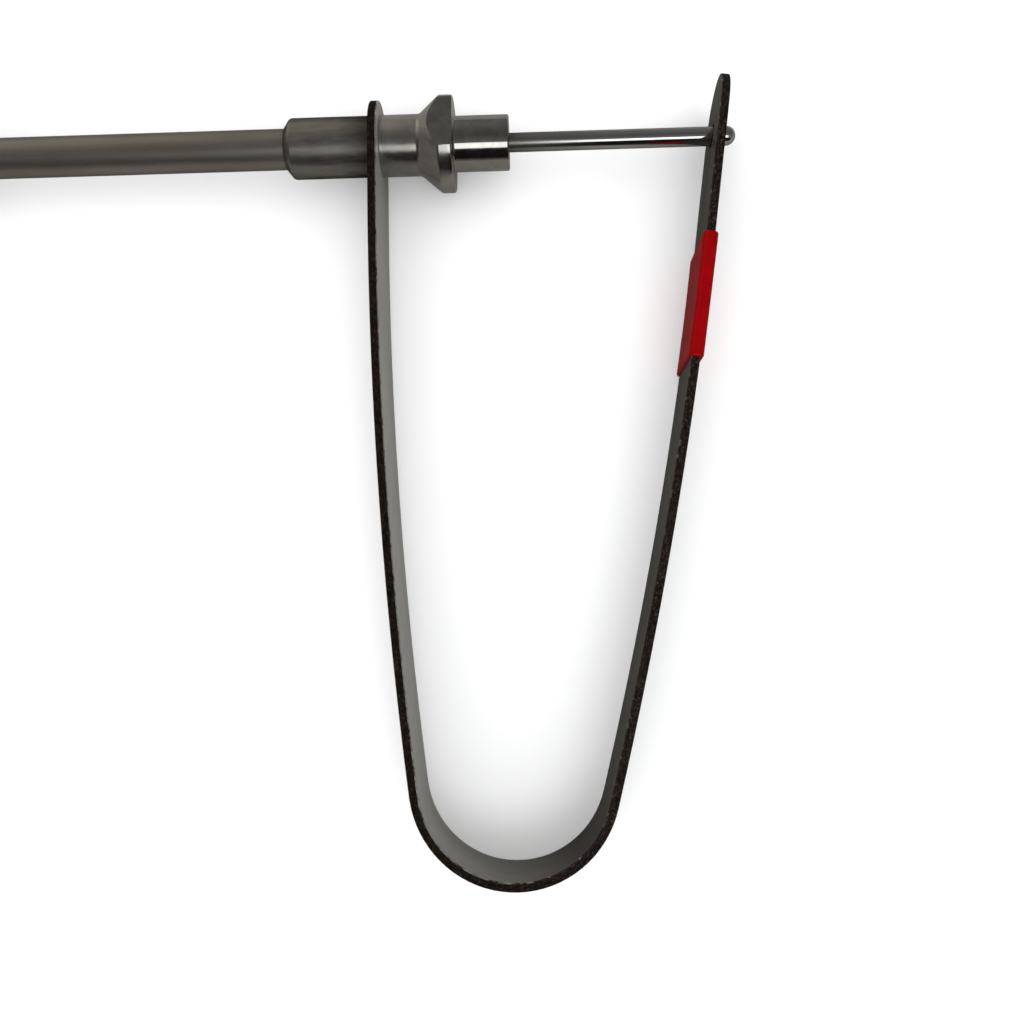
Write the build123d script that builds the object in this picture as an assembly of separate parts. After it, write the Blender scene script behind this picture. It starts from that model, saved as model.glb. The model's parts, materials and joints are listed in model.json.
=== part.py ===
"""Hot wire cutter: a heated rod in a spring-steel bow, on a tube shaft with a two-shell handle.

Millimetres. The tool lies flat: X runs along the shaft towards the rod's tip, Y points from the
bow's bend to the shaft, and Z points up off the bench. The sub-parts are modelled about the
shaft's axis, with X = 0 on the face of the bow that the ferrule clamps. They are then moved
together, so that the origin is the middle of the underside of the whole tool's box.
"""
from build123d import *
import math
import os

# --- Bow: one flat strip bent into a U ------------------------------------------------------
STRIP_W = 18.5
STRIP_T = 1.8
BEND_CENTRE = (27.85, -133.3)    # centre of the round bend at the bottom of the U
BEND_RADIUS = 19.8               # of the strip's middle line
NEAR_LEAN = 7.0                  # degrees that each arm leans out where it leaves the bend
FAR_LEAN = 14.7
EYE_END = -15.6                  # the near arm is straight and square to the shaft from here up
FAR_CURVE_R = 1009.0             # slow curve of the far arm, up to its straight part
FAR_TOP_LEAN = 8.0               # degrees that the far arm's straight part leans out
FAR_TOP = 12.7                   # height of the far arm's free end above the shaft's axis
FLEX_GAP = 0.2                   # slit where the far arm flexes on the bend
SHANK_HOLE_D = 8.2
ROD_HOLE_D = 5.4

# --- Grip sleeve on the far arm -------------------------------------------------------------
SLEEVE_SPAN = (37.3, 63.5)       # from the arm's free end, along the strip
SLEEVE_WALL = 0.65

# --- Clamping collar, one turned piece ------------------------------------------------------
NECK_D = 12.7
NECK_END = 10.2
CONE_END = 14.5
FLANGE_D = 20.0
FLANGE_FACE = 17.4
FLAT_ACROSS = 16.0
FLAT_TILT = 12.0                 # degrees from Z that the wrench flats stand turned
NECK_FILLET = 1.0
NOSE_D = 11.5
NOSE_END = 29.2
EDGE_BREAK = 0.3
STUB_D = 8.0
STUB_LENGTH = 10.5
COLLAR_BORE_D = 5.0

# --- Heated rod -----------------------------------------------------------------------------
ROD_D = 4.0
ROD_TIP = 77.5
ROD_BACK = -8.0
SHEATH_WALL = 0.4
CORE_PLAY = 0.05
BUSH_BACK = -9.0
BUSH_RECESS = 0.4

# --- Shaft and ferrule ----------------------------------------------------------------------
FERRULE_D = 12.6
FERRULE_LENGTH = 18.8
FERRULE_NOSE = (1.4, 1.8)        # length and depth of the sloped rear edge
SOCKET_DEPTH = 6.0
TAPPED_D = 8.1
SHAFT_D = 8.5
SHAFT_BORE_D = 6.5
SHAFT_END = -122.5
LINER_D = 6.3
LINER_BORE_D = 5.1
WIRE_D = 1.2
WIRE_OFFSET = 0.9

# --- Handle: two shells that meet on the plane Z = 0 ----------------------------------------
HANDLE_FRONT = -95.0
HANDLE_REAR = -213.0
HANDLE_THICK = 19.8
FRONT_HALF = 10.5
MIDDLE_HALF = 13.5
REAR_HALF = 12.5
CORNER_R = 6.0
HANDLE_EDGE_R = 5.0
WALL = 2.2
CAVITY_EDGE_R = 3.0
SHAFT_PLAY = 0.1
RIB_THICK = 1.8
SCREW_SPOTS = [(x, side * 7.3) for x in (-101.0, -192.0) for side in (-1, 1)]
BOSS_D = 5.6
SCREW_D = 2.5
SCREW_HEAD_D = 4.4
SCREW_HEAD_H = 1.6
SCREW_LENGTH = 14.0
HEAD_SINK = 2.4                  # depth of the recess that each screw's head sits in

# --- Clamp block on the shaft's end ---------------------------------------------------------
BLOCK_X = (-119.0, -108.0)
BLOCK_SIDE = 15.0
GRUB_D = 3.0

# --- Push button, spring and switch ---------------------------------------------------------
SWITCH_X = -134.0
BUTTON = (13.0, 6.4)             # length and width of the cap
BUTTON_TOP = 14.6
BUTTON_LIP = 1.4                 # how far the lip inside the shell stands out all round
LIP_TOP = 9.9
LIP_BOTTOM = 8.5
BUTTON_PLAY = 0.3
STEM_D = 3.0
STEM_BOTTOM = 6.3
SWITCH_TOP = 4.5
SWITCH_SIZE = (12.0, 8.0, 6.4)
TERMINAL = (0.8, 3.0, 2.4)
TERMINAL_GAP = 7.2
SPRING_RADIUS = 2.6
SPRING_WIRE_D = 0.5
SPRING_TURNS = 4

# --- Low-voltage inlet in the handle's end --------------------------------------------------
INLET_BODY_D = 9.5
INLET_INNER = -199.0
BARREL_D = 8.0
BARREL_END = -218.0
INLET_BORE_D = 5.6
INLET_BORE_END = -208.0
CONTACT_D = 2.1
CONTACT_ROOT_D = 3.0
CONTACT_TIP = -217.0
NUT_D = 12.0
NUT_THICK = 2.2

LEAD_DROP = SWITCH_TOP - SWITCH_SIZE[1] - TERMINAL[1] / 2 - 0.5
LEAD_BEND = 2.0
INLET_LEAD_Y = 3.2
RETURN_Z = -5.2


def bar(x_start, x_end, diameter, y=0.0, z=0.0):
    """A round bar along X."""
    length = abs(x_end - x_start)
    return Pos((x_start + x_end) / 2, y, z) * Rot(0, 90, 0) * Cylinder(diameter / 2, length)


def turned(points):
    """A solid turned about the shaft's axis from (x, radius) points."""
    return revolve(make_face(Polyline(*points, close=True)), Axis.X)


def polar(angle, radius=1.0):
    """A flat vector at an angle in degrees from +X."""
    return Vector(math.cos(math.radians(angle)), math.sin(math.radians(angle))) * radius


# Middle line of the bow: flat eye, near arm, round bend, far arm.
near_root = Vector(*BEND_CENTRE) + polar(180 + NEAR_LEAN, BEND_RADIUS)
far_root = Vector(*BEND_CENTRE) + polar(-FAR_LEAN, BEND_RADIUS)
near_top = Vector(STRIP_T / 2, STRIP_W / 2)
eye_end = Vector(STRIP_T / 2, EYE_END)
eye_line = Line(eye_end, near_top)
near_line = TangentArc(near_root, eye_end, tangent=polar(90 + NEAR_LEAN))
bend_line = ThreePointArc(near_root, Vector(*BEND_CENTRE) - Vector(0, BEND_RADIUS), far_root)
far_curve = JernArc(far_root, polar(90 - FAR_LEAN), FAR_CURVE_R, FAR_LEAN - FAR_TOP_LEAN)
far_rise = (FAR_TOP - (far_curve @ 1).Y) / math.cos(math.radians(FAR_TOP_LEAN))
far_line = Wire([far_curve, PolarLine(far_curve @ 1, far_rise, 90 - FAR_TOP_LEAN)])


def ribbon(line, thickness, width):
    """A strip of the given thickness and width that follows a flat line."""
    return extrude(trace(line, thickness), width / 2, both=True)


def end_plane(line, distance):
    """A plane square to the strip, facing across its thickness, a distance below its free end."""
    along = 1 - distance / line.length
    return Plane(line @ along, x_dir=line % along, z_dir=(line % along).rotate(Axis.Z, -90))


def round_end(strip, line):
    """Shape the strip's free end to a full radius."""
    radius = STRIP_W / 2
    corner = Pos(radius, 0, 0) * Box(2 * radius, STRIP_W + 1, 3 * STRIP_T)
    return strip - end_plane(line, radius) * (corner - Cylinder(radius, 3 * STRIP_T))


def bow_near_half():
    strip = Part() + [ribbon(line, STRIP_T, STRIP_W) for line in (eye_line, near_line, bend_line)]
    return round_end(strip, eye_line) - bar(-STRIP_T, 2 * STRIP_T, SHANK_HOLE_D)


def bow_far_arm():
    line = far_line.trim(FLEX_GAP / far_line.length, 1)
    strip = round_end(ribbon(line, STRIP_T, STRIP_W), far_line)
    hole_drop = FAR_TOP / math.cos(math.radians(FAR_TOP_LEAN))
    hole = end_plane(far_line, hole_drop) * Cylinder(ROD_HOLE_D / 2, 3 * STRIP_T)
    return strip - hole


def grip_sleeve():
    high, low = [1 - distance / far_line.length for distance in SLEEVE_SPAN]
    line = far_line.trim(low, high)
    outside = ribbon(line, STRIP_T + 2 * SLEEVE_WALL, STRIP_W + 2 * SLEEVE_WALL)
    return outside - ribbon(far_line, STRIP_T, STRIP_W)


def clamp_collar():
    bore = COLLAR_BORE_D / 2
    outline = make_face(Polyline(
        (-STUB_LENGTH, bore),
        (-STUB_LENGTH, STUB_D / 2),
        (STRIP_T, STUB_D / 2),
        (STRIP_T, NECK_D / 2),
        (NECK_END, NECK_D / 2),
        (CONE_END, FLANGE_D / 2),
        (FLANGE_FACE - EDGE_BREAK, FLANGE_D / 2),
        (FLANGE_FACE, FLANGE_D / 2 - EDGE_BREAK),
        (FLANGE_FACE, NOSE_D / 2),
        (NOSE_END - EDGE_BREAK, NOSE_D / 2),
        (NOSE_END, NOSE_D / 2 - EDGE_BREAK),
        (NOSE_END, bore),
        close=True,
    ))
    neck_foot = outline.vertices().sort_by_distance((NECK_END, NECK_D / 2))[0]
    collar = revolve(fillet(neck_foot, NECK_FILLET), Axis.X)
    length = FLANGE_FACE - NECK_END
    for side in (-1, 1):
        spot = Pos(NECK_END + length / 2, 0, side * (FLAT_ACROSS + FLANGE_D) / 2)
        collar -= Rot(-FLAT_TILT, 0, 0) * spot * Box(length, 2 * FLANGE_D, FLANGE_D)
    return collar


def ferrule():
    length, depth = FERRULE_NOSE
    socket_floor = SOCKET_DEPTH - FERRULE_LENGTH
    return turned([
        (-FERRULE_LENGTH, SHAFT_D / 2),
        (-FERRULE_LENGTH, FERRULE_D / 2 - depth),
        (-FERRULE_LENGTH + length, FERRULE_D / 2),
        (0, FERRULE_D / 2),
        (0, TAPPED_D / 2),
        (socket_floor, TAPPED_D / 2),
        (socket_floor, SHAFT_D / 2),
    ])


def heater_sheath():
    shell_end = ROD_TIP - ROD_D / 2
    outside = bar(ROD_BACK, shell_end, ROD_D) + Pos(shell_end, 0, 0) * Sphere(ROD_D / 2)
    return outside - bar(ROD_BACK, shell_end, ROD_D - 2 * SHEATH_WALL)


def heater_core():
    return bar(ROD_BACK, ROD_TIP - ROD_D / 2, ROD_D - 2 * SHEATH_WALL - 2 * CORE_PLAY)


def rod_bush():
    front = NOSE_END - BUSH_RECESS
    return bar(BUSH_BACK, front, COLLAR_BORE_D) - bar(BUSH_BACK, front, ROD_D)


def shaft_tube():
    front = SOCKET_DEPTH - FERRULE_LENGTH
    return bar(SHAFT_END, front, SHAFT_D) - bar(SHAFT_END, front, SHAFT_BORE_D)


def shaft_liner():
    front = SOCKET_DEPTH - FERRULE_LENGTH
    return bar(SHAFT_END, front, LINER_D) - bar(SHAFT_END, front, LINER_BORE_D)


def wire(points):
    """A round wire along straight runs joined by bends."""
    path = FilletPolyline(*points, radius=LEAD_BEND) if len(points) > 2 else Polyline(*points)
    start = Plane(path @ 0, z_dir=path % 0)
    return sweep(start * Circle(WIRE_D / 2), path)


def terminal_x(side):
    return SWITCH_X + side * TERMINAL_GAP / 2


def live_lead():
    end = terminal_x(1) + TERMINAL[0] / 2
    return wire([
        (ROD_BACK, -WIRE_OFFSET, 0),
        (SHAFT_END, -WIRE_OFFSET, 0),
        (SHAFT_END - 3, LEAD_DROP, 0),
        (end, LEAD_DROP, 0),
    ])


def switch_lead():
    start = terminal_x(-1) - TERMINAL[0] / 2
    return wire([
        (start, LEAD_DROP, 0),
        (INLET_INNER + 12, LEAD_DROP, 0),
        (INLET_INNER + 6, -INLET_LEAD_Y, 0),
        (INLET_INNER, -INLET_LEAD_Y, 0),
    ])


def return_lead():
    return wire([
        (ROD_BACK, WIRE_OFFSET, 0),
        (SHAFT_END - 0.5, WIRE_OFFSET, 0),
        (SHAFT_END - 3.5, WIRE_OFFSET, RETURN_Z),
        (INLET_INNER + 14, WIRE_OFFSET, RETURN_Z),
        (INLET_INNER + 6, INLET_LEAD_Y, 0),
        (INLET_INNER, INLET_LEAD_Y, 0),
    ])


def handle_blank(inset, edge_radius):
    """The handle's outer form, or with an inset the hollow inside it."""
    middle = (HANDLE_FRONT + HANDLE_REAR) / 2
    top = ThreePointArc((HANDLE_FRONT, FRONT_HALF), (middle, MIDDLE_HALF), (HANDLE_REAR, REAR_HALF))
    outline = make_face([
        top,
        Line((HANDLE_REAR, REAR_HALF), (HANDLE_REAR, -REAR_HALF)),
        mirror(top, Plane.XZ),
        Line((HANDLE_FRONT, -FRONT_HALF), (HANDLE_FRONT, FRONT_HALF)),
    ])
    outline = fillet(outline.vertices(), CORNER_R)
    if inset:
        outline = offset(outline, -inset)
    blank = extrude(outline, HANDLE_THICK / 2 - inset, both=True)
    rims = blank.faces().filter_by(Axis.Z).edges()
    return fillet(rims, edge_radius)


def screw_axis(x, y, z_low, z_high, diameter):
    return Pos(x, y, (z_low + z_high) / 2) * Cylinder(diameter / 2, z_high - z_low)


def handle_both():
    """Both shells as one solid, before they are split on Z = 0."""
    half = HANDLE_THICK / 2
    blank = handle_blank(0, HANDLE_EDGE_R)
    shell = blank - handle_blank(WALL, CAVITY_EDGE_R)
    inside = Part()
    for x, y in SCREW_SPOTS:
        inside += screw_axis(x, y, -half, half, BOSS_D)
    for x in (BLOCK_X[1] + RIB_THICK / 2, BLOCK_X[0] - RIB_THICK / 2):
        inside += Pos(x, 0, 0) * Box(RIB_THICK, 2 * MIDDLE_HALF, HANDLE_THICK)
    pad_height = half - SWITCH_SIZE[2] / 2
    for side in (-1, 1):
        pad_z = side * (half - pad_height / 2)
        pad = Box(SWITCH_SIZE[0], RIB_THICK, pad_height)
        inside += Pos(SWITCH_X, SWITCH_TOP - RIB_THICK / 2, pad_z) * pad
    shell += inside & blank
    shell -= bar(HANDLE_FRONT + 1, SHAFT_END - 1, SHAFT_D + 2 * SHAFT_PLAY)
    shell -= bar(INLET_INNER, HANDLE_REAR - 1, BARREL_D)
    opening = Box(BUTTON[0] + 2 * BUTTON_PLAY, MIDDLE_HALF, BUTTON[1] + 2 * BUTTON_PLAY)
    shell -= Pos(SWITCH_X, LIP_TOP + MIDDLE_HALF / 2 - 1, 0) * opening
    for x, y in SCREW_SPOTS:
        shell -= screw_axis(x, y, half - HEAD_SINK - SCREW_LENGTH, half, SCREW_D)
        shell -= screw_axis(x, y, half - HEAD_SINK, half, SCREW_HEAD_D + 0.6)
    return shell


def shell_screws():
    """Four pan-head screws with a cross recess, as one group."""
    seat = HANDLE_THICK / 2 - HEAD_SINK
    screws = Part()
    for x, y in SCREW_SPOTS:
        head = screw_axis(x, y, seat, seat + SCREW_HEAD_H, SCREW_HEAD_D)
        head = fillet(head.edges().filter_by(GeomType.CIRCLE).sort_by(Axis.Z)[-1], 0.6)
        for turn in (0, 90):
            slot = Pos(x, y, seat + SCREW_HEAD_H) * Rot(0, 0, turn) * Box(2.4, 0.6, 1.6)
            head -= slot
        screws += head + screw_axis(x, y, seat - SCREW_LENGTH + 0.5, seat, SCREW_D)
    return screws


def clamp_block():
    length = BLOCK_X[1] - BLOCK_X[0]
    middle = sum(BLOCK_X) / 2
    block = chamfer(Box(length, BLOCK_SIDE, BLOCK_SIDE).edges(), 0.5)
    screw_hole = Pos(0, -BLOCK_SIDE / 2, 0) * Rot(90, 0, 0) * Cylinder(GRUB_D / 2, BLOCK_SIDE)
    return Pos(middle, 0, 0) * (block - screw_hole) - bar(*BLOCK_X, SHAFT_D)


def grub_screw():
    length = (BLOCK_SIDE - SHAFT_D) / 2 - 0.5
    middle = -(SHAFT_D + length) / 2
    screw = Rot(90, 0, 0) * Cylinder(GRUB_D / 2, length)
    hex_hole = Pos(0, -length / 2, 0) * Rot(90, 0, 0) * extrude(RegularPolygon(0.75, 6), 1, both=True)
    return Pos(sum(BLOCK_X) / 2, middle, 0) * (screw - hex_hole)


def push_button():
    length, width = BUTTON
    cap_height = BUTTON_TOP - LIP_TOP
    cap = Pos(0, LIP_TOP + cap_height / 2, 0) * Box(length, cap_height, width)
    cap = fillet(cap.edges().filter_by(Axis.Y), 2.0)
    cap = fillet(cap.faces().sort_by(Axis.Y)[-1].edges(), 0.8)
    lip = Box(length + 2 * BUTTON_LIP, LIP_TOP - LIP_BOTTOM, width + 2 * BUTTON_LIP)
    stem = Pos(0, (STEM_BOTTOM + LIP_BOTTOM) / 2, 0) * Rot(90, 0, 0) * Cylinder(
        STEM_D / 2, LIP_BOTTOM - STEM_BOTTOM)
    return Pos(SWITCH_X, 0, 0) * (cap + Pos(0, (LIP_TOP + LIP_BOTTOM) / 2, 0) * lip + stem)


def button_spring():
    height = LIP_BOTTOM - SWITCH_TOP - SPRING_WIRE_D
    path = Helix(height / SPRING_TURNS, height, SPRING_RADIUS)
    coil = sweep(Plane(path @ 0, z_dir=path % 0) * Circle(SPRING_WIRE_D / 2), path, is_frenet=True)
    return Pos(SWITCH_X, SWITCH_TOP + SPRING_WIRE_D / 2, 0) * Rot(-90, 0, 0) * coil


def switch_body():
    body = chamfer(Box(*SWITCH_SIZE).edges(), 0.4)
    return Pos(SWITCH_X, SWITCH_TOP - SWITCH_SIZE[1] / 2, 0) * body


def switch_terminals():
    y = SWITCH_TOP - SWITCH_SIZE[1] - TERMINAL[1] / 2
    return Part() + [Pos(terminal_x(side), y, 0) * Box(*TERMINAL) for side in (-1, 1)]


def inlet_body():
    shoulder = HANDLE_REAR + WALL
    body = bar(INLET_INNER, shoulder, INLET_BODY_D) + bar(shoulder, BARREL_END, BARREL_D)
    body -= bar(INLET_BORE_END, BARREL_END, INLET_BORE_D)
    return body - bar(INLET_INNER + 4, INLET_BORE_END, CONTACT_ROOT_D)


def inlet_contact():
    return bar(INLET_INNER + 4, INLET_BORE_END, CONTACT_ROOT_D) + bar(
        INLET_BORE_END, CONTACT_TIP, CONTACT_D)


def inlet_nut():
    nut = Rot(0, 90, 0) * extrude(RegularPolygon(NUT_D / 2, 6), NUT_THICK / 2, both=True)
    rounded = nut & bar(-NUT_THICK / 2, NUT_THICK / 2, NUT_D - 0.4)
    return Pos(HANDLE_REAR - NUT_THICK / 2, 0, 0) * rounded - bar(HANDLE_REAR, BARREL_END, BARREL_D)


handle = handle_both()
nodes = {
    "bow_near_half": bow_near_half(),
    "bow_far_arm": bow_far_arm(),
    "grip_sleeve": grip_sleeve(),
    "clamp_collar": clamp_collar(),
    "ferrule": ferrule(),
    "heater_sheath": heater_sheath(),
    "heater_core": heater_core(),
    "rod_bush": rod_bush(),
    "shaft_tube": shaft_tube(),
    "shaft_liner": shaft_liner(),
    "live_lead": live_lead(),
    "return_lead": return_lead(),
    "switch_lead": switch_lead(),
    "handle_upper_shell": split(handle, Plane.XY, keep=Keep.TOP),
    "handle_lower_shell": split(handle, Plane.XY, keep=Keep.BOTTOM),
    "shell_screws": shell_screws(),
    "clamp_block": clamp_block(),
    "grub_screw": grub_screw(),
    "push_button": push_button(),
    "button_spring": button_spring(),
    "switch_body": switch_body(),
    "switch_terminals": switch_terminals(),
    "inlet_body": inlet_body(),
    "inlet_contact": inlet_contact(),
    "inlet_nut": inlet_nut(),
}

# The origin: the middle of the underside of the whole tool's box.
boxes = [shape.bounding_box() for shape in nodes.values()]
low = [min(getattr(box.min, axis) for box in boxes) for axis in "XYZ"]
high = [max(getattr(box.max, axis) for box in boxes) for axis in "XYZ"]
to_origin = Pos(-(low[0] + high[0]) / 2, -(low[1] + high[1]) / 2, -low[2])
hinge = far_root + polar(-FAR_LEAN, STRIP_T / 2)
print("offset", to_origin.position, "flex axis at", to_origin.position + hinge)

os.makedirs("parts", exist_ok=True)
for name, shape in nodes.items():
    export_step(to_origin * shape, f"parts/{name}.step")
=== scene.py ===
"""Looks of the hot wire cutter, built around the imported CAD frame. Metres throughout.

The tool lies flat on a pale floor: X along the shaft, Y from the bow's bend to the shaft, Z up.
Pieces are made about the datum, the point on the shaft's axis where the ferrule's face clamps
the bow, and the bow's strip is made flat and then bent along its middle line, as the real one is.
"""
import json
import math

import bmesh
import bpy
from mathutils import Matrix, Vector


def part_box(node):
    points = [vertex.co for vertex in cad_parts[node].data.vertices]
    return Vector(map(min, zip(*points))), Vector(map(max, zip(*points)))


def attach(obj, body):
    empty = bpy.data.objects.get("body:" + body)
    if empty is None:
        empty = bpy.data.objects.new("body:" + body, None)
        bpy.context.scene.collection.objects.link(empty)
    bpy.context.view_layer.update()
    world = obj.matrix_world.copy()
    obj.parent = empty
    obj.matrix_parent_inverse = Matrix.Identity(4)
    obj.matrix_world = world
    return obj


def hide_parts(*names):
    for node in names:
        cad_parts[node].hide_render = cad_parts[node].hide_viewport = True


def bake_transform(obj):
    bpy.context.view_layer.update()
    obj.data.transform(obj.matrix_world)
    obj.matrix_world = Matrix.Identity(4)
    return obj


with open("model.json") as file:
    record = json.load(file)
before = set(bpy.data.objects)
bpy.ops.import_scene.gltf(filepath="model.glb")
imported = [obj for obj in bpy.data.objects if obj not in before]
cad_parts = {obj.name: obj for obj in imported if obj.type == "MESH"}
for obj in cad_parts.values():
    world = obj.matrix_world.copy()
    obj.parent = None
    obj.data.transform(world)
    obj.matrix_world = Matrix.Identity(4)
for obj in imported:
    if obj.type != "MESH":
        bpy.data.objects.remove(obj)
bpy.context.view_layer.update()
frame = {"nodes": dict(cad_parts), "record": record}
SLOTS = {sub["node"]: sub["material_slot"] for sub in frame["record"]["subparts"]}
MM = 0.001

# --- The datum and the sizes that the frame gives -------------------------------------------
shaft_low, shaft_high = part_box("shaft_tube")
ferrule_low, ferrule_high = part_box("ferrule")
collar_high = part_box("clamp_collar")[1]
rod_low, rod_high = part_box("heater_sheath")
bow_low, bow_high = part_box("bow_near_half")
bush_low, bush_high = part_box("rod_bush")
DATUM = Vector((ferrule_high.x, (shaft_low.y + shaft_high.y) / 2, (shaft_low.z + shaft_high.z) / 2))
SHAFT_R = (shaft_high.y - shaft_low.y) / 2
FERRULE_R = (ferrule_high.y - ferrule_low.y) / 2
ROD_R = (rod_high.y - rod_low.y) / 2
ROD_TIP = rod_high.x - DATUM.x
NOSE_END = collar_high.x - DATUM.x
BORE_R = (bush_high.y - bush_low.y) / 2
STRIP_W = bow_high.z - bow_low.z

# --- Sizes that the frame doesn't give by itself --------------------------------------------
STRIP_T = 1.8 * MM
STRIP_ARRIS = 0.2 * MM
BEND_CENTRE = Vector((27.85, -133.3)) * MM
BEND_RADIUS = 19.8 * MM
NEAR_LEAN = math.radians(7.0)
FAR_LEAN = math.radians(14.7)
EYE_END = Vector((STRIP_T / 2, -15.6 * MM))
FAR_CURVE_R = 1009 * MM
FAR_TOP_LEAN = math.radians(8.0)
FAR_TOP = 12.7 * MM
ROD_HOLE_R = 2.7 * MM
SLEEVE_SPAN = (37.3 * MM, 63.5 * MM)
SLEEVE_WALL = 0.65 * MM
NECK_R = 6.35 * MM
NECK_END = 10.2 * MM
CONE_END = 14.5 * MM
FLANGE_R = 10 * MM
FLANGE_FACE = 17.4 * MM
FLAT_ACROSS = 16 * MM
FLAT_TILT = math.radians(12)
NOSE_R = 5.75 * MM
SLEEVE_LIP = 0.45 * MM
SLEEVE_WAIST = 0.06 * MM
SLEEVE_CORNER = 0.95 * MM
BEND_STEP = 1.6 * MM
CUTTER_SPARE = 1 * MM
SPRING_WIRE_R = 0.25 * MM
SPRING_TURNS = 4
TURNED_SIDES = 192


# --- Mesh helpers ---------------------------------------------------------------------------
def new_object(name, mesh_or_bmesh, materials):
    mesh = mesh_or_bmesh
    if isinstance(mesh_or_bmesh, bmesh.types.BMesh):
        mesh = bpy.data.meshes.new(name)
        mesh_or_bmesh.to_mesh(mesh)
        mesh_or_bmesh.free()
    obj = bpy.data.objects.new(name, mesh)
    bpy.context.scene.collection.objects.link(obj)
    for material in materials:
        mesh.materials.append(material)
    return obj


def shade_smooth(obj, angle=30):
    """Smooth shading with faces wider than their bevels kept flat."""
    obj.data.shade_smooth()
    obj.data.set_sharp_from_angle(angle=math.radians(angle))
    weighted = obj.modifiers.new("weighted", "WEIGHTED_NORMAL")
    weighted.keep_sharp = True
    return obj


def apply_modifiers(obj):
    """Bakes the object's modifiers into its mesh."""
    depsgraph = bpy.context.evaluated_depsgraph_get()
    mesh = bpy.data.meshes.new_from_object(obj.evaluated_get(depsgraph))
    obj.modifiers.clear()
    obj.data = mesh
    return obj


def rounded(points, radii, steps=5):
    """An (x, r) outline with each corner that has a radius turned into an arc."""
    outline = []
    for i, (point, radius) in enumerate(zip(points, radii)):
        here = Vector(point)
        if not radius or i in (0, len(points) - 1):
            outline.append(here)
            continue
        to_last = (Vector(points[i - 1]) - here).normalized()
        to_next = (Vector(points[i + 1]) - here).normalized()
        half = to_last.angle(to_next) / 2
        reach = radius / math.tan(half)
        centre = here + (to_last + to_next).normalized() * (radius / math.sin(half))
        start = here + to_last * reach - centre
        sweep = start.angle_signed(here + to_next * reach - centre)
        for k in range(steps + 1):
            turn = Matrix.Rotation(-sweep * k / steps, 2)
            outline.append(centre + turn @ start)
    return outline


def lathe(name, outline, materials, sides=TURNED_SIDES):
    """A solid turned about the shaft's axis from an open (x, r) outline, closed at both ends."""
    bm = bmesh.new()
    rings = []
    for x, r in outline:
        if r < 1e-6:
            rings.append([bm.verts.new(DATUM + Vector((x, 0, 0)))])
            continue
        ring = []
        for k in range(sides):
            a = 2 * math.pi * k / sides
            ring.append(bm.verts.new(DATUM + Vector((x, r * math.cos(a), r * math.sin(a)))))
        rings.append(ring)
    for one, two in zip(rings, rings[1:]):
        for k in range(sides):
            corners = [one[k % len(one)], one[(k + 1) % len(one)]]
            corners += [two[(k + 1) % len(two)], two[k % len(two)]]
            corners = list(dict.fromkeys(corners))
            if len(corners) > 2:
                bm.faces.new(corners)
    for ring in (rings[0], rings[-1]):
        if len(ring) > 1:
            bm.faces.new(ring)
    bmesh.ops.recalc_face_normals(bm, faces=bm.faces)
    return new_object(name, bm, materials)


# --- Middle line of the bow: eye, near arm, bend, far arm -----------------------------------
def heading_vector(heading):
    return Vector((math.cos(heading), math.sin(heading)))


def run_along(start, heading, turn, length):
    """The point reached from start by a line or, with a turn, an arc of that length."""
    if abs(turn) < 1e-9:
        return start + heading_vector(heading) * length
    radius = length / turn
    across = math.pi / 2
    return start + radius * (heading_vector(heading + turn - across) - heading_vector(heading - across))


def bow_spans():
    """Spans of the middle line as (start, heading, turn, length), from the near arm's end."""
    down, up = -math.pi / 2, math.pi / 2
    near_top = Vector((STRIP_T / 2, STRIP_W / 2))
    near_root = BEND_CENTRE + heading_vector(math.pi + NEAR_LEAN) * BEND_RADIUS
    far_root = BEND_CENTRE + heading_vector(-FAR_LEAN) * BEND_RADIUS
    chord = near_root - EYE_END
    near_turn = 2 * (math.atan2(chord.y, chord.x) - down)
    near_length = chord.length * (near_turn / 2) / math.sin(near_turn / 2)
    bend_turn = math.pi - NEAR_LEAN - FAR_LEAN
    far_turn = FAR_LEAN - FAR_TOP_LEAN
    far_curve = (far_root, up - FAR_LEAN, far_turn, far_turn * FAR_CURVE_R)
    straight_foot = run_along(*far_curve)
    straight = (FAR_TOP - straight_foot.y) / math.cos(FAR_TOP_LEAN)
    return [
        (near_top, down, 0.0, (near_top - EYE_END).length),
        (EYE_END, down, near_turn, near_length),
        (near_root, down + NEAR_LEAN, bend_turn, bend_turn * BEND_RADIUS),
        far_curve,
        (straight_foot, up - FAR_TOP_LEAN, 0.0, straight),
    ]


SPANS = bow_spans()
STRIP_L = sum(span[3] for span in SPANS)
FAR_START = sum(span[3] for span in SPANS[:3])


def bend_point(s, n, z):
    """Where a point of the flat strip goes: s along it, n towards the bow's inside, z up."""
    for start, heading, turn, length in SPANS[:-1]:
        if s <= length:
            break
        s -= length
    else:
        start, heading, turn, length = SPANS[-1]
    bent = turn * s / length
    flat = run_along(start, heading, bent, s) + heading_vector(heading + bent + math.pi / 2) * n
    return DATUM + Vector((flat.x, flat.y, z))


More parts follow.
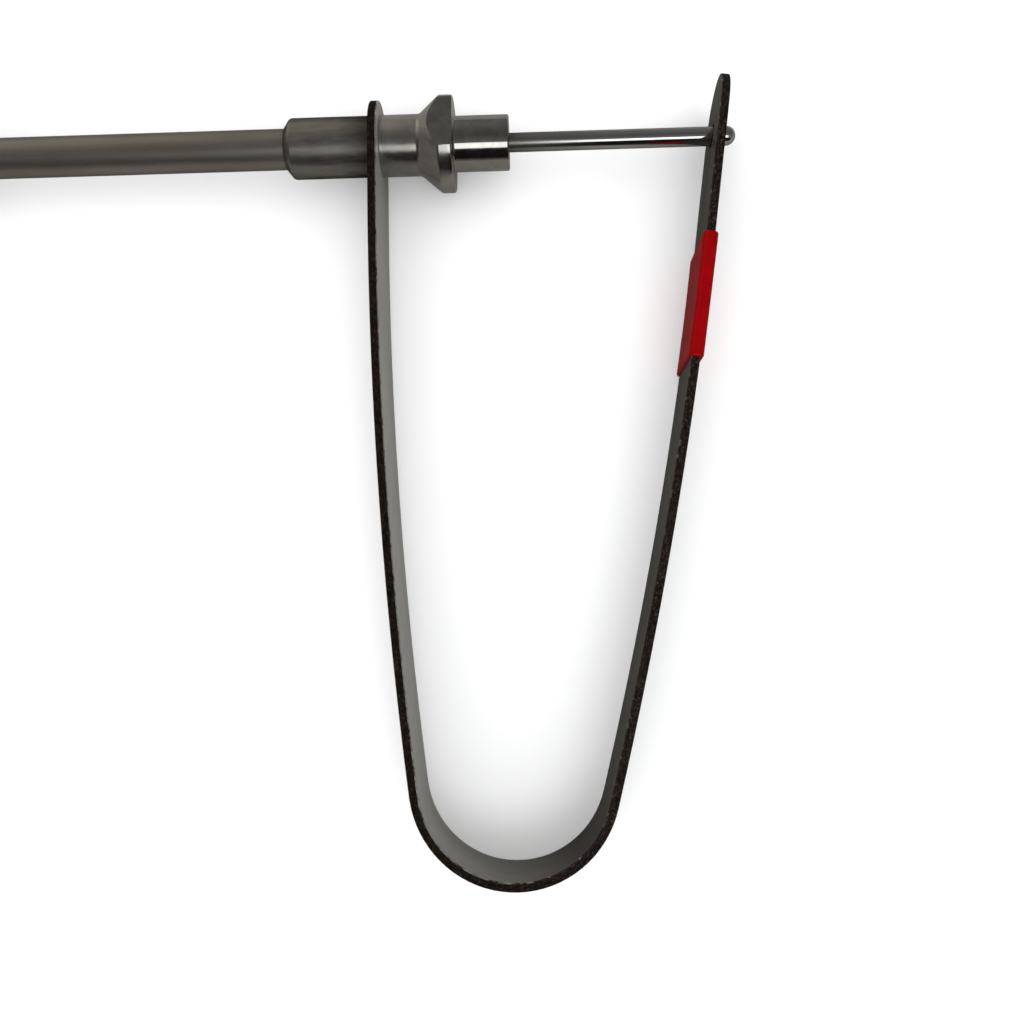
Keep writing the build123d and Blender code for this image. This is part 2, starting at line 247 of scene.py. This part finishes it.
# --- Materials ------------------------------------------------------------------------------
class Shader:
    """A node material with short ways to make the nodes that this scene uses."""

    def __init__(self, name, **sockets):
        self.material = bpy.data.materials.new(name)
        self.material.use_nodes = True
        self.tree = self.material.node_tree
        self.surface = self.tree.nodes["Principled BSDF"]
        for socket, value in sockets.items():
            self.surface.inputs[socket.replace("_", " ")].default_value = value
        self.place = self.tree.nodes.new("ShaderNodeTexCoord").outputs["Object"]

    def node(self, kind, inputs=None, **settings):
        node = self.tree.nodes.new(kind)
        for key, value in settings.items():
            setattr(node, key, value)
        for key, value in (inputs or {}).items():
            if isinstance(value, bpy.types.NodeSocket):
                self.tree.links.new(value, node.inputs[key])
            else:
                node.inputs[key].default_value = value
        return node

    def stretched(self, scale):
        return self.node("ShaderNodeMapping", {"Vector": self.place, "Scale": scale}).outputs[0]

    def noise(self, scale, detail=4.0, roughness=0.6, stretch=None, distortion=0.0):
        vector = self.stretched(stretch) if stretch else self.place
        inputs = {"Vector": vector, "Scale": scale, "Detail": detail, "Roughness": roughness,
                  "Distortion": distortion}
        return self.node("ShaderNodeTexNoise", inputs).outputs["Fac"]

    def cells(self, scale, stretch=None):
        vector = self.stretched(stretch) if stretch else self.place
        return self.node("ShaderNodeTexVoronoi", {"Vector": vector, "Scale": scale}).outputs["Distance"]

    def ramp(self, factor, *stops):
        node = self.node("ShaderNodeValToRGB", {"Fac": factor})
        elements = node.color_ramp.elements
        while len(elements) < len(stops):
            elements.new(0.5)
        for element, (position, value) in zip(elements, stops):
            element.position = position
            element.color = (*((value,) * 3 if isinstance(value, float) else value), 1)
        return node.outputs["Color"]

    def spread(self, value, low, high, to_low=0.0, to_high=1.0):
        """value from low..high to to_low..to_high, clamped."""
        inputs = {"Value": value, "From Min": low, "From Max": high, "To Min": to_low, "To Max": to_high}
        return self.node("ShaderNodeMapRange", inputs).outputs["Result"]

    def mix(self, factor, one, two, blend="MIX"):
        node = self.node("ShaderNodeMix", data_type="RGBA", blend_type=blend)
        for socket, value in ((node.inputs[0], factor), (node.inputs[6], one), (node.inputs[7], two)):
            if isinstance(value, bpy.types.NodeSocket):
                self.tree.links.new(value, socket)
            elif socket.type == "RGBA":
                socket.default_value = (*value, 1)
            else:
                socket.default_value = value
        return node.outputs[2]

    def math(self, operation, one, two):
        return self.node("ShaderNodeMath", {0: one, 1: two}, operation=operation).outputs[0]

    def axis(self, letter):
        return self.node("ShaderNodeSeparateXYZ", {0: self.place}).outputs[letter]

    def bump(self, height, strength, distance, under=None):
        inputs = {"Height": height, "Strength": strength, "Distance": distance}
        if under:
            inputs["Normal"] = under
        return self.node("ShaderNodeBump", inputs).outputs["Normal"]

    def set(self, **links):
        for socket, value in links.items():
            self.tree.links.new(value, self.surface.inputs[socket.replace("_", " ")])
        return self.material


def strip_face_steel():
    """Wide faces of the bow: satin steel, darkened by painted shade from the bend to the far arm."""
    s = Shader("strip_face_steel", Metallic=0.85, Specular_Tint=(0.5, 0.5, 0.5, 1))
    cloud = s.noise(60, 5, 0.6, stretch=(1, 1, 2))
    grain = s.noise(5200, 2, 0.7)
    # Painted shade: a light tone for the near arm and a dark one for the far arm, in place of light that
    # falls on one arm and not the other.
    near_lit_tone = s.ramp(cloud, (0.3, (0.66, 0.655, 0.632)), (0.7, (0.76, 0.755, 0.732)))
    far_painted_shade_tone = s.ramp(cloud, (0.3, (0.105, 0.100, 0.090)), (0.7, (0.145, 0.138, 0.125)))
    # Mask of the painted shade, rising from the bend to the far arm.
    far = s.spread(s.axis("X"), DATUM.x + 9 * MM, DATUM.x + 40 * MM)
    tone = s.mix(far, near_lit_tone, far_painted_shade_tone)
    specks = s.ramp(s.cells(420), (0.04, (0.35, 0.32, 0.30)), (0.10, (1.0, 1.0, 1.0)))
    colour = s.mix(1.0, tone, specks, "MULTIPLY")
    rough = s.spread(s.noise(900, 3, 0.6), 0.3, 0.7, 0.36, 0.50)
    return s.set(Base_Color=colour, Roughness=rough, Normal=s.bump(grain, 0.25, 0.02 * MM))


def strip_edge_steel():
    """Cut edges of the bow: dark brown oxidised steel, rough, with rusty flecks and painted glints, more of
    them on the far arm.
    """
    s = Shader("strip_edge_steel", Metallic=0.1, Specular_IOR_Level=0.05)
    patches = s.noise(1500, 6, 0.75, distortion=0.4)
    brown = s.ramp(patches, (0.36, (0.0015, 0.001, 0.0007)), (0.52, (0.005, 0.003, 0.002)),
                   (0.66, (0.022, 0.010, 0.006)))
    # Painted glints: bright flecks in the colour, stepped up towards the far arm.
    far = s.spread(s.axis("X"), DATUM.x + 25 * MM, DATUM.x + 50 * MM, 0.0, 0.04)
    glints = s.ramp(s.math("ADD", s.noise(5200, 2, 0.8), far), (0.62, 0.0), (0.80, 1.0))
    colour = s.mix(glints, brown, (0.20, 0.170, 0.145))
    rough = s.spread(patches, 0.3, 0.7, 0.45, 0.75)
    return s.set(Base_Color=colour, Roughness=rough, Normal=s.bump(patches, 0.5, 0.02 * MM))


def strip_arris_steel():
    """Broken inner corners of the strip: worn bright in patches, brighter on the near arm as a painted
    highlight.
    """
    s = Shader("strip_arris_steel", Metallic=1.0)
    # Painted shade: the bright corner fades towards the far arm, following the faces' painted shade.
    far = s.spread(s.axis("X"), DATUM.x + 14 * MM, DATUM.x + 34 * MM, 0.0, 0.16)
    wear_and_painted_highlight = s.ramp(s.math("SUBTRACT", s.noise(420, 5, 0.7), far), (0.38, 0.0), (0.56, 1.0))
    colour = s.mix(wear_and_painted_highlight, (0.06, 0.052, 0.044), (0.72, 0.71, 0.69))
    rough = s.spread(wear_and_painted_highlight, 0, 1, 0.55, 0.3)
    return s.set(Base_Color=colour, Roughness=rough, Normal=s.bump(s.noise(3000, 3), 0.3, 0.02 * MM))


def turned_steel(name, tone, dull, polished, groove, stain):
    """Turned metal: fine rings round the axis, slight stains, and a nose polished by handling."""
    s = Shader(name, Metallic=1.0)
    rings = s.noise(1.0, 3, 0.75, stretch=(9000, 60, 60))
    cloud = s.noise(220, 5, 0.65)
    dark = tuple(c * (1 - stain) for c in tone)
    colour = s.ramp(cloud, (0.35, dark), (0.62, tone))
    edge = DATUM.x + FLANGE_FACE
    nose = s.spread(s.axis("X"), edge - 1 * MM, edge, dull, polished)
    rough = s.math("ADD", s.math("MULTIPLY", s.spread(rings, 0.3, 0.7, 0.8, 1.2), nose),
                   s.spread(cloud, 0.45, 0.7, 0.0, 0.05))
    return s.set(Base_Color=colour, Roughness=rough, Normal=s.bump(rings, groove, 0.01 * MM))


def ferrule_steel():
    """The ferrule: dull, streaky, with soft waves along it and its end by the bow darkened as painted shade
    and a painted reflection of the dark bow.
    """
    s = Shader("ferrule_steel", Metallic=1.0, Specular_Tint=(0.12, 0.12, 0.12, 1))
    streaks = s.noise(1.0, 6, 0.7, stretch=(160, 900, 900))
    waves = s.noise(1.0, 3, 0.5, stretch=(120, 420, 420), distortion=0.4)
    tone = s.ramp(streaks, (0.3, (0.21, 0.20, 0.18)), (0.7, (0.34, 0.325, 0.295)))
    # Painted shade: darker towards the bow's face, in place of the bow's shade and its dark reflection.
    bow_painted_shade = s.spread(s.axis("X"), DATUM.x - 7 * MM, DATUM.x - 0.5 * MM, 1.0, 0.35)
    colour = s.mix(1.0, tone, bow_painted_shade, "MULTIPLY")
    rough = s.spread(streaks, 0.3, 0.7, 0.30, 0.44)
    fine = s.bump(streaks, 0.2, 0.02 * MM)
    return s.set(Base_Color=colour, Roughness=rough, Normal=s.bump(waves, 0.5, 0.12 * MM, fine))


def shaft_steel():
    """The tube shaft: satin, drawn lengthwise, slightly brown."""
    s = Shader("shaft_steel", Metallic=1.0, Specular_Tint=(0.5, 0.5, 0.5, 1))
    drawn = s.noise(1.0, 5, 0.7, stretch=(40, 2600, 2600))
    cloud = s.noise(1.0, 4, 0.6, stretch=(35, 160, 160))
    tone = s.ramp(cloud, (0.3, (0.25, 0.231, 0.198)), (0.7, (0.33, 0.311, 0.276)))
    rough = s.spread(drawn, 0.3, 0.7, 0.38, 0.50)
    return s.set(Base_Color=tone, Roughness=rough, Normal=s.bump(drawn, 0.25, 0.02 * MM))


def rod_steel():
    """The heated rod: mirror bright towards its tip, dulled by heat beside the collar."""
    s = Shader("rod_steel", Metallic=1.0, Specular_Tint=(0.35, 0.35, 0.35, 1))
    x = s.axis("X")
    dulled = s.spread(x, DATUM.x + 30 * MM, DATUM.x + 50 * MM, 1.0, 0.0)
    drawn = s.noise(1.0, 4, 0.7, stretch=(60, 3200, 3200))
    colour = s.mix(dulled, (0.54, 0.53, 0.515), (0.22, 0.212, 0.196))
    rough = s.math("ADD", s.spread(dulled, 0, 1, 0.09, 0.36), s.spread(drawn, 0.4, 0.8, 0.0, 0.05))
    return s.set(Base_Color=colour, Roughness=rough, Normal=s.bump(drawn, 0.08, 0.01 * MM))


def red_vinyl():
    """Dipped red vinyl: glossy, slightly uneven."""
    s = Shader("red_vinyl", IOR=1.5, Specular_IOR_Level=0.0, Coat_Weight=0.2, Coat_Roughness=0.12)
    cloud = s.noise(180, 4, 0.6)
    colour = s.ramp(cloud, (0.3, (0.18, 0.0004, 0.001)), (0.7, (0.23, 0.0006, 0.0018)))
    rough = s.spread(s.noise(1400, 3), 0.3, 0.7, 0.26, 0.36)
    uneven = s.bump(s.noise(420, 3, 0.5), 0.25, 0.08 * MM)
    return s.set(Base_Color=colour, Roughness=rough, Normal=uneven)


def moulded(name, light, dark, roughness, texture):
    """Moulded plastic with a fine spark-eroded texture."""
    s = Shader(name, IOR=1.5)
    cloud = s.noise(90, 4, 0.6)
    colour = s.ramp(cloud, (0.3, dark), (0.7, light))
    grain = s.noise(3800, 3, 0.7)
    rough = s.spread(grain, 0.3, 0.7, roughness - 0.05, roughness + 0.07)
    return s.set(Base_Color=colour, Roughness=rough, Normal=s.bump(grain, texture, 0.03 * MM))


def plain_metal(name, tone, roughness):
    """Small fittings: plated or machined metal with faint handling marks."""
    s = Shader(name, Metallic=1.0)
    cloud = s.noise(700, 5, 0.7)
    colour = s.ramp(cloud, (0.3, tuple(c * 0.75 for c in tone)), (0.7, tone))
    rough = s.spread(cloud, 0.3, 0.7, roughness - 0.05, roughness + 0.08)
    return s.set(Base_Color=colour, Roughness=rough, Normal=s.bump(s.noise(4200, 3), 0.12, 0.01 * MM))


def woven_sleeving():
    s = Shader("woven_sleeving")
    weave = s.node("ShaderNodeTexWave", {"Vector": s.place, "Scale": 900.0,
                                         "Distortion": 1.2}).outputs["Fac"]
    colour = s.ramp(weave, (0.2, (0.42, 0.38, 0.29)), (0.8, (0.70, 0.66, 0.55)))
    rough = s.spread(weave, 0, 1, 0.7, 0.9)
    return s.set(Base_Color=colour, Roughness=rough, Normal=s.bump(weave, 0.5, 0.08 * MM))


FACE_STEEL = strip_face_steel()
EDGE_STEEL = strip_edge_steel()
ARRIS_STEEL = strip_arris_steel()
COLLAR_STEEL = turned_steel("collar_steel", (0.44, 0.423, 0.388), 0.20, 0.09, 0.06, 0.25)
FLAT_STEEL = turned_steel("milled_flat_steel", (0.22, 0.213, 0.195), 0.34, 0.34, 0.25, 0.30)
PLATED = plain_metal("plated_steel", (0.62, 0.61, 0.58), 0.25)
BLACK_STEEL = plain_metal("black_steel", (0.05, 0.05, 0.05), 0.45)
BRASS = plain_metal("brass", (0.72, 0.52, 0.24), 0.28)
TINNED = plain_metal("tinned_brass", (0.66, 0.60, 0.48), 0.35)
HANDLE_BLACK = moulded("handle_black", (0.026, 0.026, 0.028), (0.016, 0.016, 0.018), 0.46, 0.35)
SWITCH_BLACK = moulded("switch_black", (0.035, 0.035, 0.035), (0.022, 0.022, 0.022), 0.5, 0.2)
BUTTON_RED = moulded("button_red", (0.34, 0.006, 0.008), (0.26, 0.003, 0.005), 0.3, 0.12)
CERAMIC = moulded("ceramic", (0.80, 0.76, 0.67), (0.68, 0.63, 0.53), 0.7, 0.3)
JACKET = moulded("lead_jacket", (0.03, 0.03, 0.03), (0.02, 0.02, 0.02), 0.4, 0.15)
SLEEVING = woven_sleeving()

CAD_MATERIALS = {
    "ceramic": CERAMIC,
    "lead_jacket": JACKET,
    "glass_sleeving": SLEEVING,
    "handle_plastic": HANDLE_BLACK,
    "plated_steel": PLATED,
    "brass_block": BRASS,
    "black_steel": BLACK_STEEL,
    "button_plastic": BUTTON_RED,
    "switch_plastic": SWITCH_BLACK,
    "terminal_brass": TINNED,
    "bright_steel": PLATED,
}


# --- Pieces ---------------------------------------------------------------------------------
def outline_edges(bm, points):
    verts = [bm.verts.new((s, 0, z)) for s, z in points]
    return [bm.edges.new((a, b)) for a, b in zip(verts, verts[1:] + verts[:1])]


def strip_blank():
    """The bow's strip before bending: flat, with full-radius ends and the rod's hole."""
    radius = STRIP_W / 2
    steps = 48
    ends = []
    for centre, first in ((radius, 90), (STRIP_L - radius, 270)):
        for k in range(steps + 1):
            a = math.radians(first + 180 * k / steps)
            ends.append((centre + radius * math.cos(a), radius * math.sin(a)))
    hole_s = STRIP_L - FAR_TOP / math.cos(FAR_TOP_LEAN)
    hole = []
    for k in range(steps):
        a = 2 * math.pi * k / steps
        hole.append((hole_s + ROD_HOLE_R * math.cos(a), ROD_HOLE_R * math.sin(a)))
    bm = bmesh.new()
    edges = outline_edges(bm, ends) + outline_edges(bm, hole)
    bmesh.ops.triangle_fill(bm, use_beauty=True, use_dissolve=False, edges=edges)
    bmesh.ops.translate(bm, verts=bm.verts, vec=(0, -STRIP_T / 2, 0))
    top = bmesh.ops.extrude_face_region(bm, geom=bm.faces[:])
    moved = [e for e in top["geom"] if isinstance(e, bmesh.types.BMVert)]
    bmesh.ops.translate(bm, verts=moved, vec=(0, STRIP_T, 0))
    bmesh.ops.recalc_face_normals(bm, faces=bm.faces)
    rims = [e for e in bm.edges if len(e.link_faces) == 2 and e.calc_face_angle() > 1.0]
    bmesh.ops.bevel(bm, geom=rims, offset=STRIP_ARRIS, segments=3, profile=0.5, affect="EDGES")
    return bm


def cut_across(bm, low, high, step):
    """Cuts the flat strip across at even steps, so that it can bend."""
    for k in range(1, int((high - low) / step)):
        everything = bm.verts[:] + bm.edges[:] + bm.faces[:]
        bmesh.ops.bisect_plane(bm, geom=everything, plane_co=(low + k * step, 0, 0),
                               plane_no=(1, 0, 0), dist=1e-7)


def bow_strip():
    bm = strip_blank()
    cut_across(bm, 0, STRIP_L, BEND_STEP)
    for face in bm.faces:
        inward = face.normal.y
        face.material_index = 0 if abs(inward) > 0.98 else 1 if inward < 0.02 else 2
    for vert in bm.verts:
        vert.co = bend_point(*vert.co)
    bmesh.ops.recalc_face_normals(bm, faces=bm.faces)
    strip = new_object("bow_strip", bm, [FACE_STEEL, EDGE_STEEL, ARRIS_STEEL])
    apply_modifiers(shade_smooth(strip, 35))
    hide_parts("bow_near_half", "bow_far_arm")
    hinge = bend_point(FAR_START, 0, 0)
    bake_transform(strip)


def rounded_box_ring(half_n, half_z, radius, steps=6):
    """Cross-section points (n, z) of a box with rounded corners."""
    ring = []
    for corner, (sn, sz) in enumerate(((1, 1), (-1, 1), (-1, -1), (1, -1))):
        for k in range(steps + 1):
            a = math.pi / 2 * (corner + k / steps)
            centre = (sn * (half_n - radius), sz * (half_z - radius))
            ring.append((centre[0] + radius * math.cos(a), centre[1] + radius * math.sin(a)))
    return ring


def grip_sleeve():
    """The red sleeve: a thin soft tube drawn over the strip, with rolled ends."""
    high, low = [STRIP_L - distance for distance in SLEEVE_SPAN]
    lip = SLEEVE_LIP
    bm = bmesh.new()
    stations = [(low, lip * 1.5), (low, lip), (low + lip * 0.3, lip * 0.3), (low + lip, 0.0)]
    spans = 40
    for k in range(1, spans):
        place = low + lip + (high - low - 2 * lip) * k / spans
        stations.append((place, SLEEVE_WAIST * math.sin(math.pi * k / spans)))
    stations += [(high - lip, 0.0), (high - lip * 0.3, lip * 0.3), (high, lip), (high, lip * 1.5)]
    rings = []
    for s, shrink in stations:
        ring = rounded_box_ring(STRIP_T / 2 + SLEEVE_WALL - shrink, STRIP_W / 2 + SLEEVE_WALL - shrink,
                                SLEEVE_CORNER - shrink * 0.6)
        rings.append([bm.verts.new(bend_point(s, n, z)) for n, z in ring])
    for one, two in zip(rings, rings[1:]):
        count = len(one)
        for k in range(count):
            bm.faces.new((one[k], one[(k + 1) % count], two[(k + 1) % count], two[k]))
    for ring in (rings[0], rings[-1]):
        bm.faces.new(ring)
    bmesh.ops.recalc_face_normals(bm, faces=bm.faces)
    sleeve = new_object("red_grip_sleeve", bm, [red_vinyl()])
    shade_smooth(sleeve, 60)
    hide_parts("grip_sleeve")
    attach(sleeve, "far_arm")


def collar():
    """The clamping collar: neck, cone, flange and nose in one turned piece, with two flats."""
    points = [(STRIP_T, BORE_R), (STRIP_T, NECK_R), (NECK_END, NECK_R), (CONE_END, FLANGE_R),
              (FLANGE_FACE, FLANGE_R), (FLANGE_FACE, NOSE_R), (NOSE_END, NOSE_R), (NOSE_END, BORE_R),
              (NOSE_END - 1 * MM, BORE_R)]
    radii = [0, 0.2 * MM, 1.4 * MM, 0.8 * MM, 0.4 * MM, 0.5 * MM, 0.4 * MM, 0.1 * MM, 0]
    turned = lathe("clamp_collar_turned", rounded(points, radii), [COLLAR_STEEL, FLAT_STEEL])
    bm = bmesh.new()
    length = FLANGE_FACE - NECK_END + CUTTER_SPARE
    for side in (-1, 1):
        middle = Vector(((NECK_END + FLANGE_FACE) / 2 + 0.25 * MM, 0, side * (FLAT_ACROSS / 2 + FLANGE_R)))
        shape = Matrix.Translation(DATUM) @ Matrix.Rotation(-FLAT_TILT, 4, "X") @ Matrix.Translation(middle)
        shape = shape @ Matrix.Diagonal((length, 4 * FLANGE_R, 2 * FLANGE_R, 1))
        bmesh.ops.create_cube(bm, size=1, matrix=shape)
    cutter = new_object("flat_cutter", bm, [FLAT_STEEL])
    cut = turned.modifiers.new("flats", "BOOLEAN")
    cut.operation, cut.object, cut.solver = "DIFFERENCE", cutter, "EXACT"
    cut.material_mode = "TRANSFER"
    apply_modifiers(turned)
    bpy.data.objects.remove(cutter)
    shade_smooth(turned, 28)
    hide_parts("clamp_collar")
    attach(turned, "tool_body")


def ferrule():
    length = ferrule_high.x - ferrule_low.x
    slope = 1.4 * MM
    points = [(-length, SHAFT_R), (-length, FERRULE_R - 1.8 * MM), (-length + slope, FERRULE_R),
              (0, FERRULE_R), (0, SHAFT_R)]
    radii = [0, 0.5 * MM, 0.9 * MM, 0.25 * MM, 0]
    piece = lathe("ferrule_turned", rounded(points, radii), [ferrule_steel()])
    shade_smooth(piece, 40)
    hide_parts("ferrule")
    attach(piece, "tool_body")


def heated_rod():
    shoulder = ROD_TIP - ROD_R
    outline = [Vector((NOSE_END - 2 * MM, 0)), Vector((NOSE_END - 2 * MM, ROD_R))]
    lengths = 60
    for k in range(lengths + 1):
        outline.append(Vector((NOSE_END - 1 * MM + (shoulder - NOSE_END + 1 * MM) * k / lengths, ROD_R)))
    steps = 24
    for k in range(1, steps + 1):
        a = math.pi / 2 * k / steps
        outline.append(Vector((shoulder + ROD_R * math.sin(a), ROD_R * math.cos(a))))
    piece = lathe("heated_rod", outline, [rod_steel()], 96)
    shade_smooth(piece, 60)
    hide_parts("heater_sheath")
    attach(piece, "tool_body")


def shaft():
    start, end = shaft_low.x - DATUM.x, shaft_high.x - DATUM.x
    points = [(start, 0.0), (start, SHAFT_R), (end, SHAFT_R), (end, 0.0)]
    piece = lathe("shaft", rounded(points, [0, 0.2 * MM, 0.2 * MM, 0]), [shaft_steel()])
    shade_smooth(piece, 40)
    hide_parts("shaft_tube")
    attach(piece, "tool_body")


def spring():
    """The button's return spring."""
    low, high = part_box("button_spring")
    middle = (low + high) / 2
    radius = (high.x - low.x) / 2 - 1.1 * SPRING_WIRE_R
    height = high.y - low.y - 2.6 * SPRING_WIRE_R
    steps, sides = 28 * SPRING_TURNS, 12
    bm = bmesh.new()
    rings = []
    for k in range(steps + 1):
        a = 2 * math.pi * SPRING_TURNS * k / steps
        outward = Vector((math.cos(a), 0, math.sin(a)))
        along = Vector((-math.sin(a), height / (2 * math.pi * SPRING_TURNS * radius), math.cos(a)))
        across = along.normalized().cross(outward)
        place = middle + outward * radius + Vector((0, height * (k / steps - 0.5), 0))
        ring = []
        for j in range(sides):
            t = 2 * math.pi * j / sides
            wall = outward * math.cos(t) + across * math.sin(t)
            ring.append(bm.verts.new(place + SPRING_WIRE_R * wall))
        rings.append(ring)
    for one, two in zip(rings, rings[1:]):
        for j in range(sides):
            bm.faces.new((one[j], one[(j + 1) % sides], two[(j + 1) % sides], two[j]))
    for ring in (rings[0], rings[-1]):
        bm.faces.new(ring)
    bmesh.ops.recalc_face_normals(bm, faces=bm.faces)
    piece = new_object("return_spring", bm, [PLATED])
    apply_modifiers(shade_smooth(piece, 60))
    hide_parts("button_spring")
    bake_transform(piece)


def dress_cad_nodes():
    """Gives each CAD node that stays its own material."""
    for name, obj in frame["nodes"].items():
        material = CAD_MATERIALS.get(SLOTS[name])
        if obj.hide_render or material is None:
            continue
        obj.data.materials.clear()
        obj.data.materials.append(material)


# --- Stage ----------------------------------------------------------------------------------
LENS = 36.04
CAMERA_PLACE = Vector((33.54, -99.42, 211.88)) * MM
CAMERA_TURN = (5.2905, 1.5464, -1.1418)
WINDOW_PLACE = (0.18, -0.50, 0.80)
WINDOW_TILT = math.radians(32)
WINDOW_SIZE = (0.54, 0.36)
WINDOW_POWER = 1.45
WINDOW_COLOUR = (0.95, 0.98, 1.0)


def camera():
    """Above the bow and a little below its middle in Y, nearly straight down."""
    data = bpy.data.cameras.new("camera")
    data.lens = LENS
    data.sensor_width = 36
    data.clip_start = 0.01
    cam = bpy.data.objects.new("camera", data)
    bpy.context.scene.collection.objects.link(cam)
    cam.location = DATUM + CAMERA_PLACE
    cam.rotation_euler = [math.radians(a) for a in CAMERA_TURN]
    bpy.context.scene.camera = cam


def area_light(name, place, tilt, size, power, colour):
    """A rectangular light facing down, tilted about X, at a place given from the datum."""
    data = bpy.data.lights.new(name, "AREA")
    data.shape = "RECTANGLE"
    data.size, data.size_y = size
    data.energy = power
    data.color = colour
    light = bpy.data.objects.new(name, data)
    bpy.context.scene.collection.objects.link(light)
    light.location = DATUM + Vector(place)
    light.rotation_euler = (tilt, 0, 0)


def floor():
    """Pale paper: white to the camera and grey to all other rays, so the steel reflects it dimly."""
    bm = bmesh.new()
    bmesh.ops.create_grid(bm, x_segments=1, y_segments=1, size=4)
    s = Shader("floor_paper", Roughness=0.9, Specular_IOR_Level=0.1)
    paper = s.noise(6, 3)
    white = s.ramp(paper, (0.3, (0.93, 0.93, 0.93)), (0.7, (0.95, 0.95, 0.95)))
    dim = s.ramp(paper, (0.3, (0.27, 0.262, 0.245)), (0.7, (0.29, 0.282, 0.265)))
    seen = s.node("ShaderNodeLightPath").outputs["Is Camera Ray"]
    colour = s.mix(seen, dim, white)
    new_object("floor", bm, [s.set(Base_Color=colour)])


def world_ramp(tree, factor, tint, *stops):
    node = tree.nodes.new("ShaderNodeValToRGB")
    elements = node.color_ramp.elements
    while len(elements) < len(stops):
        elements.new(0.5)
    for element, (position, value) in zip(elements, stops):
        element.position = position
        element.color = (*(value * c for c in tint), 1)
    tree.links.new(factor, node.inputs["Fac"])
    return node.outputs["Color"]


def world_spread(tree, value, low, high):
    node = tree.nodes.new("ShaderNodeMapRange")
    node.inputs["From Min"].default_value = low
    node.inputs["From Max"].default_value = high
    tree.links.new(value, node.inputs["Value"])
    return node.outputs["Result"]


def world_mix(tree, factor, one, two):
    node = tree.nodes.new("ShaderNodeMix")
    node.data_type = "RGBA"
    tree.links.new(factor, node.inputs[0])
    for value, socket in ((one, node.inputs[6]), (two, node.inputs[7])):
        if isinstance(value, bpy.types.NodeSocket):
            tree.links.new(value, socket)
        else:
            socket.default_value = (*value, 1)
    return node.outputs[2]


def surroundings():
    """Soft even light for matt surfaces. The bright metal reflects a dim room instead: dark
    along -Y, grey overhead, and a warm wall on the left that is lighter towards +Y."""
    world = bpy.data.worlds.new("studio")
    bpy.context.scene.world = world
    world.use_nodes = True
    tree = world.node_tree
    direction = tree.nodes.new("ShaderNodeSeparateXYZ")
    tree.links.new(tree.nodes.new("ShaderNodeTexCoord").outputs["Generated"], direction.inputs[0])
    along_y = world_spread(tree, direction.outputs["Y"], -1.0, 1.0)
    room = world_ramp(tree, along_y, (0.98, 1.0, 1.0), (0.10, 0.004), (0.15, 0.012), (0.24, 0.20),
                      (0.42, 0.18), (0.58, 0.10), (0.75, 0.115), (0.97, 0.17))
    wall = world_ramp(tree, along_y, (1.0, 0.95, 0.84), (0.08, 0.02), (0.26, 0.05), (0.48, 0.10),
                      (0.71, 0.32), (0.91, 0.75))
    leftward = world_spread(tree, direction.outputs["X"], -0.03, -0.35)
    reflected = world_mix(tree, leftward, room, wall)
    glossy = tree.nodes.new("ShaderNodeLightPath").outputs["Is Glossy Ray"]
    colour = world_mix(tree, glossy, (1.3, 1.3, 1.3), reflected)
    tree.links.new(colour, tree.nodes["Background"].inputs["Color"])


camera()
floor()
surroundings()
area_light("window", WINDOW_PLACE, WINDOW_TILT, WINDOW_SIZE, WINDOW_POWER, WINDOW_COLOUR)
bpy.context.scene.view_settings.view_transform = "Standard"

bow_strip()
grip_sleeve()
collar()
ferrule()
heated_rod()
shaft()
spring()
dress_cad_nodes()
